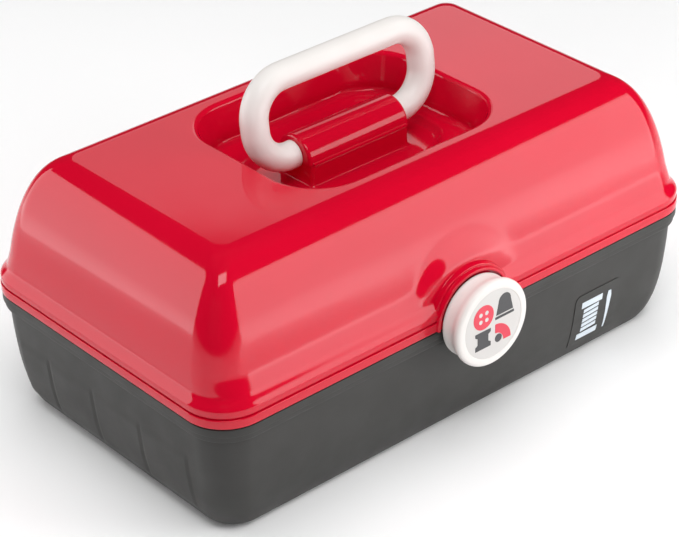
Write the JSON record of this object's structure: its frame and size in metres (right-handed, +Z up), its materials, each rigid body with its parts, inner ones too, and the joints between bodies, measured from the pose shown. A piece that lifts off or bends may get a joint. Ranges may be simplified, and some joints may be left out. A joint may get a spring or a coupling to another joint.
{
  "type": "sewing box with trays",
  "caption": "hinged plastic sewing case with a folding carry handle, a round flip latch and two linked trays that rise as the lid opens",
  "frame": {"origin": "centre of the base's footprint, on the floor it stands on", "axes": "+X along the length of the box to the right as the latch side is faced, -Y out through the latch, +Z up"},
  "size_m": [0.32, 0.2101, 0.1818],
  "materials": {
    "base_shell": "charcoal injection-moulded plastic, fine satin texture",
    "front_badge": "thin applied plate, charcoal with pale spool icon",
    "lid_hinge_pins": "plain steel pin",
    "base_arm_rivets": "off-white moulded plastic stud",
    "arm_spacers": "charcoal moulded spacer",
    "lid_shell": "pearl red high-gloss moulded plastic",
    "handle_cap": "pearl red high-gloss moulded plastic",
    "handle_cap_screws": "zinc-plated screw",
    "handle_loop": "off-white satin plastic",
    "latch_button": "off-white satin plastic",
    "latch_face_disc": "off-white printed face",
    "latch_pin": "plain steel pin",
    "front_arm_left": "off-white moulded plastic link",
    "front_arm_right": "off-white moulded plastic link",
    "rear_arm_left": "off-white moulded plastic link",
    "rear_arm_right": "off-white moulded plastic link",
    "lower_tray": "charcoal moulded plastic",
    "lower_tray_partition": "off-white moulded plastic plate",
    "lower_tray_dividers": "off-white moulded plastic plate",
    "lower_tray_rivets": "off-white moulded plastic stud",
    "upper_tray": "charcoal moulded plastic",
    "upper_tray_partition": "off-white moulded plastic plate",
    "upper_tray_dividers": "off-white moulded plastic plate",
    "upper_tray_rear_divider": "off-white moulded plastic plate",
    "upper_tray_rivets": "off-white moulded plastic stud",
    "lid_link_rivets": "off-white moulded plastic stud"
  },
  "bodies": {
    "base": {"base_shell": "base_shell", "front_badge": "front_badge", "lid_hinge_pins": "lid_hinge_pins", "base_arm_rivets": "base_arm_rivets", "arm_spacers": "arm_spacers"},
    "lid": {"lid_shell": "lid_shell", "handle_cap": "handle_cap", "handle_cap_screws": "handle_cap_screws"},
    "handle": {"handle_loop": "handle_loop"},
    "latch": {"latch_button": "latch_button", "latch_face_disc": "latch_face_disc", "latch_pin": "latch_pin"},
    "front_arms": {"front_arm_left": "front_arm_left", "front_arm_right": "front_arm_right"},
    "rear_arms": {"rear_arm_left": "rear_arm_left", "rear_arm_right": "rear_arm_right"},
    "lower_tray": {"lower_tray": "lower_tray", "lower_tray_partition": "lower_tray_partition", "lower_tray_dividers": "lower_tray_dividers", "lower_tray_rivets": "lower_tray_rivets"},
    "upper_tray": {"upper_tray": "upper_tray", "upper_tray_partition": "upper_tray_partition", "upper_tray_dividers": "upper_tray_dividers", "upper_tray_rear_divider": "upper_tray_rear_divider", "upper_tray_rivets": "upper_tray_rivets", "lid_link_rivets": "lid_link_rivets"}
  },
  "joints": [
    {"name": "lid_hinge", "type": "hinge", "parent": "base", "child": "lid", "pos_m": [0, 0.0975, 0.068], "axis": [-1, 0, 0], "range_deg": [0, 100]},
    {"name": "handle_hinge", "type": "hinge", "parent": "lid", "child": "handle", "pos_m": [0, 0, 0.1326], "axis": [1, 0, 0], "range_deg": [-72, 85]},
    {"name": "latch_hinge", "type": "hinge", "parent": "lid", "child": "latch", "pos_m": [0, -0.0998, 0.086], "axis": [-1, 0, 0], "range_deg": [0, 50]},
    {"name": "front_arm_hinge", "type": "hinge", "parent": "base", "child": "front_arms", "pos_m": [0, 0, 0.06], "axis": [-1, 0, 0], "range_deg": [0, 100]},
    {"name": "rear_arm_hinge", "type": "hinge", "parent": "base", "child": "rear_arms", "pos_m": [0, 0.074, 0.06], "axis": [-1, 0, 0], "range_deg": [0, 100]},
    {"name": "lower_tray_hinge", "type": "hinge", "parent": "rear_arms", "child": "lower_tray", "pos_m": [0, 0.039, 0.048], "axis": [-1, 0, 0], "range_deg": [-100, 0]},
    {"name": "upper_tray_hinge", "type": "hinge", "parent": "rear_arms", "child": "upper_tray", "pos_m": [0, 0.014, 0.064], "axis": [-1, 0, 0], "range_deg": [-100, 0]}
  ],
  "couplings": [
    {"joint": "front_arm_hinge", "follows": "lid_hinge", "ratio": 1},
    {"joint": "rear_arm_hinge", "follows": "lid_hinge", "ratio": 1},
    {"joint": "lower_tray_hinge", "follows": "lid_hinge", "ratio": -1},
    {"joint": "upper_tray_hinge", "follows": "lid_hinge", "ratio": -1}
  ]
}
